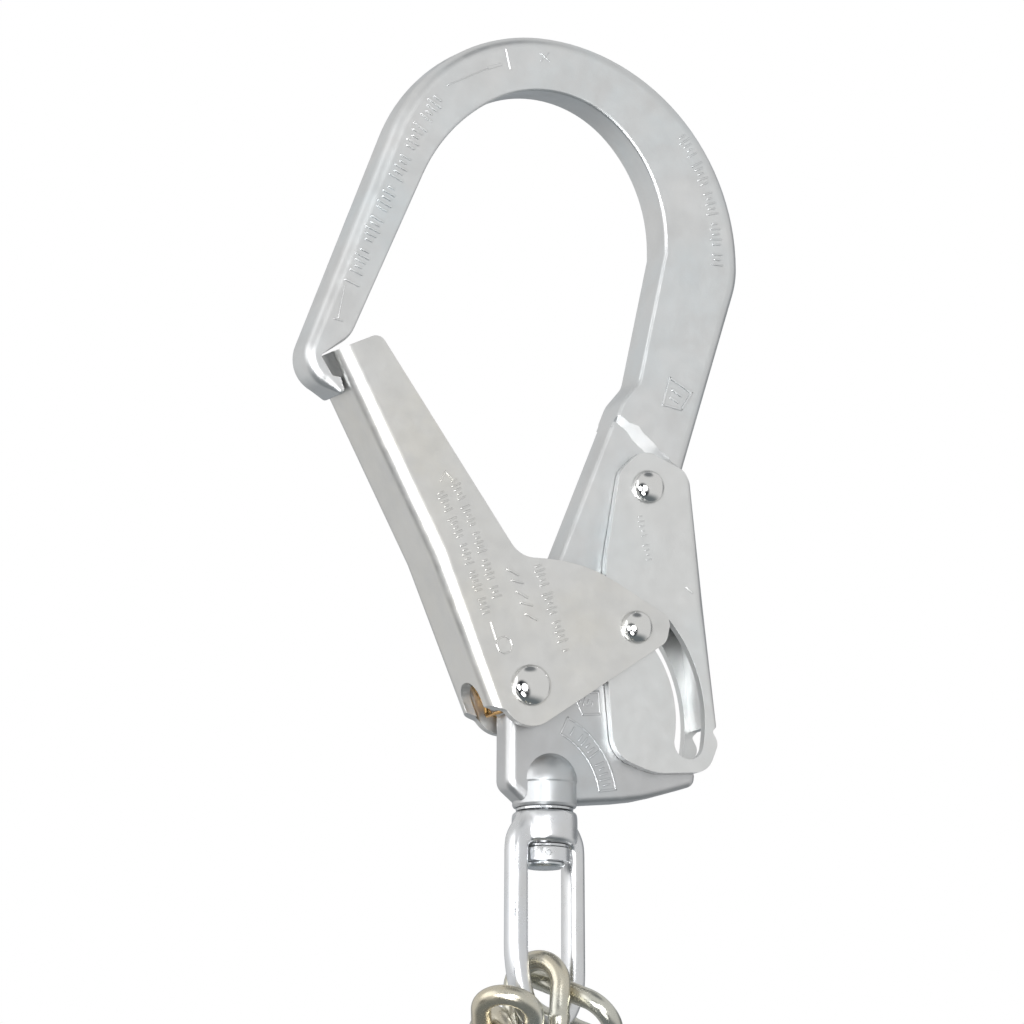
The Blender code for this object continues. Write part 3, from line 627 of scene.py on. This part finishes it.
def lever_mesh():
    """Two cheeks joined by a web along the lever's back, which stops short of both ends."""
    web = [(40.4, -104.4), (44.1, -136.0), (47.8, -168.0)]
    top, middle, low = web
    outline = rounded([(18.9, -101.6, 4.5, 0.0), (25.6, -95.0, 6.0, 0.0), (37.6, -100.2, 3.0, 0.0),
                       (*top, 0.0), (*middle, 0.0), (*low, 0.0), (45.8, -169.9, 0.8, 0.0),
                       (47.6, -173.0, 3.0, 0.0), (44.6, -181.0, 6.0, 0.0), (29.0, -182.2, 14.0, 0.0),
                       (16.9, -178.2, 8.0, 0.0), (14.4, -150.0, 40.0, 0.0), (14.6, -126.0, 30.0, 0.0)])
    mesh = slab("lock_lever", flat(outline), -LEVER_HALF, LEVER_HALF)
    mesh = bend_edges(mesh, web, LEVER_HALF, LEVER_BEND, 10)
    inner_half = LEVER_HALF - SHEET
    line = web_inside(web[::-1], 0.0)[::-1]
    web_top, web_bottom = -103.2, -168.4
    around = [(70.0, web_bottom), (70.0, -200.0), (0.0, -200.0), (0.0, -80.0), (70.0, -80.0)]
    inside = [(70.0, web_top), (line[0][0], web_top), line[1], (line[2][0], web_bottom)] + around
    hollow = slab("hollow", inside, -inner_half, inner_half)
    mesh = cut(mesh, hollow, slab("slot", lever_slot(), -20.0, 20.0))
    return eased(mesh, SHEET_EDGE)


# ---------------------------------------------------------------- rivets and springs

def rivet_mesh(name, centre, shank, head, grip):
    """A rivet with a full dome on each side and a thin flange where it meets the sheet."""
    rise = 3.0
    seat = grip + 0.15
    dome = [(head / 2 * math.sin(math.radians(a)), seat + rise * math.cos(math.radians(a)))
            for a in range(0, 85, 6)]
    upper = dome + [(head / 2, seat + 0.12), (head / 2, seat), (shank / 2, seat)]
    profile = upper + [(r, -h) for r, h in reversed(upper)]
    return turned(name, profile, 64, "Y", (centre[0], 0, centre[1]))


def gate_spring_half(side):
    """One coil beside the hook: a leg up the gate, two turns, and a foot that crosses to the middle."""
    first, last = 216.0, 169.0 + 720.0
    outer_y, inner_y = 7.0, 5.4
    steps = 120
    points = [(-27.0, outer_y, -142.6), (-25.9, outer_y, -145.0), (-25.4, outer_y, -146.4)]
    for k in range(steps + 1):
        x, z = polar(GATE_PIVOT, GATE_COIL_R, first + (last - first) * k / steps)
        points.append((x, outer_y + (inner_y - outer_y) * k / steps, z))
    points += [(-14.5, inner_y, -166.8), (-14.5, inner_y - 0.3, -167.6), (-14.5, inner_y - 0.9, -168.0),
               (-14.5, 0.02, -168.0)]
    return [(x, side * y, z) for x, y, z in points]


def lever_spring_points():
    seat, tip = Vector((22.5, 0.0, -124.2)), Vector((39.4, 0.0, -121.9))
    way = (tip - seat).normalized()
    across = Vector((0, 1, 0))
    up = way.cross(across)
    length = (tip - seat).length - LEVER_WIRE
    turns, per_turn, closed_end = 6.5, 28, 0.08
    steps = round(turns * per_turn)
    points = []
    for k in range(steps + 1):
        angle = math.radians(360 * turns * k / steps)
        share = k / steps
        rise = min(1.0, max(0.0, (share - closed_end) / (1 - 2 * closed_end)))
        along = LEVER_WIRE / 2 + closed_end * min(share, 1 - share, closed_end) + length * rise
        points.append(seat + way * along + (across * math.cos(angle) + up * math.sin(angle)) * LEVER_COIL_R)
    return points


# ---------------------------------------------------------------- swivel

def eye_mesh():
    """A flat loop with a rounded foot, melted into a round collar and bored for the stud."""
    def foot(half, low, edge):
        points = []
        for bend, angles in ((EYE_BENDS[1], range(0, -90, -4)), (EYE_BENDS[0], range(-90, -181, -4))):
            points += [(half * math.cos(math.radians(a)),
                        bend + (bend - low) * math.sin(math.radians(a)), edge) for a in angles]
        return points

    edge = EYE_EDGE
    top_half, shoulder_half, shoulder_z, shoulder_r = 8.0, EYE_HALF_OUT - 0.3, -200.2, 9.0
    outer = rounded([(-top_half, COLLAR_TOP, edge), (top_half, COLLAR_TOP, edge),
                     (shoulder_half, shoulder_z, shoulder_r, edge)]
                    + foot(EYE_HALF_OUT, EYE_FOOT_OUT, edge)
                    + [(-shoulder_half, shoulder_z, shoulder_r, edge)])
    window_top, corner_r = COLLAR_BOTTOM + 0.3, 2.0
    window = rounded([(EYE_HALF_IN, window_top, corner_r, edge)] + foot(EYE_HALF_IN, EYE_FOOT_IN, edge)
                     + [(-EYE_HALF_IN, window_top, corner_r, edge)])
    mesh = rounded_slab("swivel_eye", outer, EYE_DEPTH / 2)
    mesh = eased(cut(mesh, slab("window", flat(window), -10.0, 10.0)), WINDOW_EDGE, segments=5, angle=60.0)
    mesh.transform(Matrix.Rotation(math.radians(EYE_TURN), 4, "Z"))
    profile = [(0.0, COLLAR_TOP), (BOSS_R - 0.6, COLLAR_TOP), (BOSS_R - 0.15, COLLAR_TOP - 0.25),
               (BOSS_R, COLLAR_TOP - 0.8), (BOSS_R, COLLAR_BOTTOM + 1.6), (BOSS_R - 0.4, COLLAR_BOTTOM + 0.6),
               (BOSS_R - 1.4, COLLAR_BOTTOM), (0.0, COLLAR_BOTTOM)]
    mesh = forged(joined(mesh, turned("collar", profile, 96)))
    return cut(mesh, rod("bore", STUD_R + STUD_PLAY, (0, 0, -190.0), (0, 0, -215.0), 64))


def pin_ends(reach):
    """Both ends of a line through the middle of the nut, along the pin's heading."""
    angle = math.radians(PIN_TURN)
    way = Vector((math.sin(angle), -math.cos(angle), 0.0))
    middle = Vector((0, 0, (NUT_TOP + NUT_BOTTOM) / 2))
    return middle + way * reach, middle - way * reach


def nut_mesh():
    low_edge, high_edge = NUT_BOTTOM, NUT_TOP
    profile = [(NUT_R - 0.5, high_edge), (NUT_R - 0.12, high_edge - 0.15), (NUT_R, high_edge - 0.5),
               (NUT_R, low_edge + 0.5), (NUT_R - 0.12, low_edge + 0.15), (NUT_R - 0.5, low_edge),
               (STUD_R, low_edge), (STUD_R, high_edge)]
    return cut(turned("nut", profile, 96), rod("pin_way", PIN_R + 0.1, *pin_ends(12.0)))


def stud_mesh():
    """The swivel's stud, which ends in a flat button under the nut."""
    top, neck_z, neck_r, button_r = -184.2, -203.0, STUD_R - 0.2, STUD_R + 1.0
    button_top = NUT_BOTTOM - 0.2
    profile = [(0.0, top), (STUD_R, top), (STUD_R, neck_z + 0.1), (neck_r, neck_z),
               (neck_r, button_top), (button_r, button_top), (button_r, STUD_END + 0.7),
               (button_r - 0.3, STUD_END + 0.25), (button_r - 0.8, STUD_END), (0.0, STUD_END)]
    return turned("stud", profile, 64)


# ---------------------------------------------------------------- chain

def link_mesh(middle, turns):
    """A welded link: round wire, with the weld a slight swelling on one side."""
    straight = LINK_HALF_LENGTH - LINK_HALF_WIDTH
    path = []
    for end in (1, -1):
        for k in range(33):
            angle = math.pi * k / 32
            path.append(Vector((end * LINK_HALF_WIDTH * math.cos(angle), 0.0,
                                end * (straight + LINK_HALF_WIDTH * math.sin(angle)))))
        path += [Vector((-end * LINK_HALF_WIDTH, 0.0, end * straight * (1 - k / 12)))
                 for k in range(1, 24)]
    mesh = tube_mesh("chain_link", path, CHAIN_WIRE / 2, 32, closed=True)
    weld_half, swell = 1.6, 0.10
    for v in mesh.vertices:
        z, x = v.co.z / MM, v.co.x / MM
        if x > 0 and abs(z) < weld_half * 2:
            grow = 1 + swell * math.exp(-(z / weld_half * 1.6) ** 2)
            v.co.x = (LINK_HALF_WIDTH + (x - LINK_HALF_WIDTH) * grow) * MM
            v.co.y *= grow
    heading, nod, sway = (math.radians(angle) for angle in turns)
    turn = Matrix.Rotation(heading, 4, "Z") @ Matrix.Rotation(nod, 4, "X") @ Matrix.Rotation(sway, 4, "Y")
    mesh.transform(Matrix.Translation(Vector(middle) * MM) @ turn)
    return mesh


# ---------------------------------------------------------------- marks

def bar(start, end, width, face, proud=0.3):
    """A thin raised bar with round ends on a face that looks towards -Y."""
    start, end = Vector(start), Vector(end)
    way = (end - start).normalized()
    across = Vector((-way.y, way.x)) * width / 2
    outline = []
    for centre, first in ((end, -across), (start, across)):
        for k in range(7):
            outline.append(centre + Matrix.Rotation(math.pi * k / 6, 2) @ first)
    mesh = rounded_slab("bar", [(p.x, p.y, min(0.2, width / 2.5)) for p in outline], proud, steps=2)
    mesh.transform(Matrix.Translation((0, face * MM, 0)))
    return mesh


def gathered(name, meshes):
    """Several meshes as one, without joining their surfaces."""
    bm = bmesh.new()
    for mesh in meshes:
        bm.from_mesh(mesh)
    result = bpy.data.meshes.new(name)
    bm.to_mesh(result)
    bm.free()
    return result


def ticks(path, spacing, height, face, width=0.55, proud=0.3):
    """Short bars across a path, of changing length, with a gap after every fifth."""
    bars = []
    travelled, step = 0.0, 0
    for start, end in zip(path, path[1:]):
        start, end = Vector(start), Vector(end)
        way = (end - start).normalized()
        across = Vector((-way.y, way.x))
        while travelled < (end - start).length:
            if step % 6 != 5:
                reach = height / 2 * (0.55, 1.0, 0.7, 0.4, 0.85)[step % 5]
                middle = start + way * travelled
                bars.append(bar(middle - across * reach, middle + across * reach, width, face, proud))
            travelled += spacing
            step += 1
        travelled -= (end - start).length
    return bars


def sides_of(corners):
    """Each side of a closed figure, as its two ends."""
    return zip(corners, corners[1:] + corners[:1])


def hook_marks():
    """Marks along the arm, over the crown and down the back, and a small pad above the step."""
    front = -BAR_HALF
    arm = [(-34.0, -5.0), (-39.5, -14.0), (-46.4, -28.3), (-52.2, -40.9), (-58.7, -57.0)]
    bars = ticks(arm, 1.6, 4.0, front, width=0.65, proud=0.45)
    for start, end, width in (((-31.0, -1.1), (-19.3, 4.6), 0.35), ((-19.3, 4.6), (-15.5, 6.0), 0.8),
                              ((-14.0, 10.3), (-12.7, 5.0), 0.5), ((-60.8, -58.0), (-62.7, -66.8), 0.35),
                              ((-63.9, -67.0), (-61.5, -67.4), 0.5), ((-3.9, 10.2), (-1.2, 8.2), 0.3),
                              ((-3.7, 8.0), (-1.4, 10.4), 0.3)):
        bars.append(bar(start, end, width, front))
    bars += ticks(arc((-7.0, -41.0), 55.5, 35.5, -3.0), 1.4, 3.0, front, width=0.5, proud=0.45)
    pad = [(34.3, -75.0), (40.75, -78.6), (37.6, -83.4), (32.2, -82.4)]
    bars += [bar(a, b, 0.7, front, 0.45) for a, b in sides_of(pad)]
    bars.append(bar((35.1, -78.2), (37.5, -79.6), 0.8, front, 0.4))
    bars.append(bar((34.5, -80.3), (36.6, -81.4), 0.8, front, 0.4))
    piece("hook_marks", gathered("hook_marks", bars), FORGING, "hook", "zinc_forging")


def gate_marks():
    """Two long rows and a short one, with a staggered column and a small ring near the rivet."""
    face, proud = -GATE_HALF, 0.4
    bars = ticks([(-31.0, -108.5), (-24.7, -121.8), (-18.2, -139.5)], 1.25, 2.4, face, 0.5, proud)
    bars += ticks([(-34.8, -112.0), (-28.6, -124.6), (-21.5, -143.5)], 1.25, 2.4, face, 0.5, proud)
    bars += ticks([(-6.6, -129.5), (1.6, -152.0)], 1.3, 2.8, face, 0.5, proud)
    for start, end, width in (((-31.0, -108.5), (-33.6, -106.3), 0.5),
                              ((-33.6, -106.3), (-34.9, -108.8), 0.5),
                              ((-20.4, -145.5), (-18.8, -150.0), 0.4)):
        bars.append(bar(start, end, width, face))
    for k in range(5):
        x, z = -14.0 + 1.35 * k, -131.0 - 2.9 * k
        bars.append(bar((x - 1.6, z), (x + 1.6, z - 1.4 + 0.9 * (k % 2)), 0.6, face, proud))
    ring = [polar((-16.4, -151.3), 2.3, 45 * k) for k in range(8)]
    bars += [bar(a, b, 0.4, face) for a, b in sides_of(ring)]
    piece("gate_marks", gathered("gate_marks", bars), SHEET_ZINC, "gate", "zinc_sheet")


def lever_marks():
    bars = ticks([(24.6, -113.5), (27.4, -125.5)], 1.3, 1.5, -LEVER_HALF, width=0.35)
    bars.append(bar((38.2, -131.6), (40.0, -133.0), 0.5, -LEVER_HALF))
    piece("lever_marks", gathered("lever_marks", bars), LEVER_ZINC, "lever", "zinc_sheet")


def heel_marks():
    """A curved frame of marks on the heel and a small square one beside the gate's rivet."""
    face, proud = -PIVOT_HALF, 0.2
    centre, inner_r, outer_r = (-5.2, -190.6), 19.3, 24.2
    first, last, inset = 9.0, 66.0, 4.0
    band = arc(centre, inner_r, first, last, step=6.0) + arc(centre, outer_r, first, last, step=6.0)[::-1]
    square = [(6.3, -162.0), (13.6, -161.0), (14.2, -166.9), (9.0, -167.4)]
    row = arc(centre, (inner_r + outer_r) / 2, first + inset, last - inset, step=6.0)
    bars = [bar(a, b, 0.65, face, proud) for a, b in sides_of(band)]
    bars += ticks(row, 1.45, 3.0, face, 0.6, proud)
    bars += [bar(a, b, 0.65, face, proud) for a, b in sides_of(square)]
    bars += ticks([(8.3, -163.6), (12.9, -164.6)], 1.2, 2.0, face, 0.5, proud)
    piece("heel_marks", gathered("heel_marks", bars), FORGING, "hook", "zinc_forging")


# ---------------------------------------------------------------- assembly

def build_rivets():
    lock = polar(GATE_PIVOT, LOCK_RADIUS, LOCK_ANGLE)
    for name, centre, shank, head, grip, body in (
            ("gate_rivet", GATE_PIVOT, 5.2, 11.1, GATE_HALF, "gate"),
            ("lock_rivet", lock, 5.0, 8.9, GATE_HALF, "gate"),
            ("lever_rivet", LEVER_PIVOT, 4.4, 9.1, LEVER_HALF, "lever")):
        piece(name + "_domed", rivet_mesh(name, centre, shank, head, grip), POLISHED, body,
              "bright_rivet", name, sharp=50.0)


def build_springs():
    """Each spring stretches between the hook and the part that it pushes."""
    for side, where in ((-1, "front"), (1, "back")):
        nodes = ("gate_spring",) if side < 0 else ()
        coil = piece("gate_spring_" + where, tube_mesh("gate_spring", gate_spring_half(side), GATE_WIRE / 2),
                     BRASS, None, "spring_brass", *nodes)
        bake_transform(coil)
    spring = piece("lever_spring_coil", tube_mesh("lever_spring", lever_spring_points(), LEVER_WIRE / 2),
                   TURNED, None, "spring_steel", "lever_spring")
    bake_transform(spring)


def build_swivel():
    piece("eye_loop", eye_mesh(), EYE_ZINC, "eye", "zinc_eye", "swivel_eye")
    piece("swivel_nut_ring", nut_mesh(), EYE_ZINC, "hook", "zinc_nut", "swivel_nut")
    piece("swivel_stud_turned", stud_mesh(), TURNED, "hook", "stud_steel", "swivel_stud")
    pin = rod("pin", PIN_R, *pin_ends(NUT_R - 0.35), 24)
    piece("nut_pin_end", pin, DARK_STEEL, "hook", "stud_steel", "nut_pin")


def build():
    piece("hook_forging", hook_body(), FORGING, "hook", "zinc_forging", "hook_body", sharp=20.0)
    piece("gate_sheet", gate_mesh(), SHEET_ZINC, "gate", "zinc_sheet", "gate")
    piece("lever_sheet", lever_mesh(), LEVER_ZINC, "lever", "zinc_sheet", "lock_lever")
    build_rivets()
    build_springs()
    build_swivel()
    for number, (middle, turns) in enumerate(LINKS, 1):
        piece(f"welded_link_{number}", link_mesh(middle, turns), CHROMATE, f"link_{number}",
              "chromate_link", f"chain_link_{number}", sharp=60.0)
    hook_marks()
    gate_marks()
    lever_marks()
    heel_marks()

    # the rings that stay as the part has them take a finish of their own
    for name, material in (("gate_bush", DARK_STEEL), ("lever_bush", DARK_STEEL), ("lock_sleeve", TURNED),
                           ("thrust_washer", TURNED), ("nut_washer", TURNED)):
        frame["nodes"][name].data.materials.clear()
        frame["nodes"][name].data.materials.append(material)


# ---------------------------------------------------------------- studio

VIEW_AZIMUTH, VIEW_ELEVATION = -25.0, -10.0
VIEW_DISTANCE, VIEW_TARGET = 2.4946, (-0.009469, 0.0, -0.113665)


def camera():
    a, e = math.radians(VIEW_AZIMUTH), math.radians(VIEW_ELEVATION)
    back = Vector((math.sin(a) * math.cos(e), -math.cos(a) * math.cos(e), math.sin(e)))
    right = Vector((math.cos(a), math.sin(a), 0.0))
    up = back.cross(right)
    data = bpy.data.cameras.new("camera")
    data.lens = 331.0
    data.sensor_width = 36.0
    data.clip_end = 20.0
    view = bpy.data.objects.new("camera", data)
    turn = Matrix((right, up, back)).transposed().to_4x4()
    view.matrix_world = Matrix.Translation(Vector(VIEW_TARGET) + back * VIEW_DISTANCE) @ turn
    bpy.context.scene.collection.objects.link(view)
    bpy.context.scene.camera = view
    return right, up, back


def world(right, up, back):
    """A pale tent with a dark opening towards the viewer, in which soft lamps stand."""
    tent = bpy.data.worlds.new("tent")
    bpy.context.scene.world = tent
    tent.use_nodes = True
    tree = tent.node_tree
    sky = tree.nodes["Background"]
    way = tree.nodes.new("ShaderNodeTexCoord").outputs["Generated"]

    def patch(direction, inner, outer):
        """1 inside a cone of the inner half-angle, fading to 0 at the outer one."""
        dot = tree.nodes.new("ShaderNodeVectorMath")
        dot.operation = "DOT_PRODUCT"
        tree.links.new(way, dot.inputs[0])
        dot.inputs[1].default_value = Vector(direction).normalized()
        span = tree.nodes.new("ShaderNodeMapRange")
        span.interpolation_type = "SMOOTHSTEP"
        span.inputs["From Min"].default_value = math.cos(math.radians(outer))
        span.inputs["From Max"].default_value = math.cos(math.radians(inner))
        tree.links.new(dot.outputs["Value"], span.inputs["Value"])
        return span.outputs["Result"]

    def seen(x, y):
        """The direction at a place across and above the viewer's own, in units of its distance."""
        return back + right * x + up * y

    # each patch: where it lies, its inner and outer half-angles, and its tone
    ground = ((0, 0, -1), 35, 70, (0.16, 0.18, 0.19))
    far_side = (-back - up * 0.2, 22, 48, (0.36, 0.38, 0.40))
    left_wall = ((-1.0, -0.25, -0.1), 10, 22, (0.12, 0.13, 0.14))
    left_corner = ((-0.80, 0.25, -0.47), 7, 15, (0.05, 0.055, 0.06))
    roof_gap = ((0.15, -0.35, 1.0), 10, 26, (0.20, 0.21, 0.22))
    right_wall = ((1.0, 0.35, 0.1), 12, 26, (0.25, 0.26, 0.27))
    opening = (seen(-0.16, -0.14), 31, 42, (0.03, 0.035, 0.04))
    main_lamp = (seen(0.12, 0.06), 10, 13, (13.0, 13.0, 13.0))
    left_lamp = (seen(-0.50, 0.0), 9, 12, (14.0, 14.0, 14.0))
    low_lamp = (seen(-0.12, -0.50), 9, 12, (9.0, 9.0, 9.0))
    high_glow = (seen(-2.4, 0.9), 16, 30, (1.9, 1.9, 1.9))

    tone = (0.74, 0.74, 0.735, 1.0)
    for direction, inner, outer, color in (ground, far_side, left_wall, left_corner, roof_gap, right_wall,
                                           opening, main_lamp, left_lamp, low_lamp, high_glow):
        tone = mixed(tree, patch(direction, inner, outer), tone, (*color, 1.0))

    white = (1.0, 1.0, 1.0, 1.0)
    shown = tree.nodes.new("ShaderNodeLightPath").outputs["Is Camera Ray"]
    tree.links.new(mixed(tree, shown, tone, white), sky.inputs["Color"])


def studio():
    right, up, back = camera()
    world(right, up, back)
    bpy.context.scene.view_settings.view_transform = "Standard"
    size, depth = 6.0, -1.5
    bm = bmesh.new()
    bmesh.ops.create_grid(bm, x_segments=1, y_segments=1, size=size / 2)
    mesh = bpy.data.meshes.new("floor")
    bm.to_mesh(mesh)
    bm.free()
    floor = bpy.data.objects.new("floor", mesh)
    floor.location = (0, 0, depth)
    bpy.context.scene.collection.objects.link(floor)
    pale = bpy.data.materials.new("pale_floor")
    pale.use_nodes = True
    pale.node_tree.nodes["Principled BSDF"].inputs["Base Color"].default_value = (0.86, 0.86, 0.86, 1.0)
    pale.node_tree.nodes["Principled BSDF"].inputs["Roughness"].default_value = 0.8
    mesh.materials.append(pale)
    floor.visible_glossy = False


build()
studio()
bpy.context.view_layer.update()
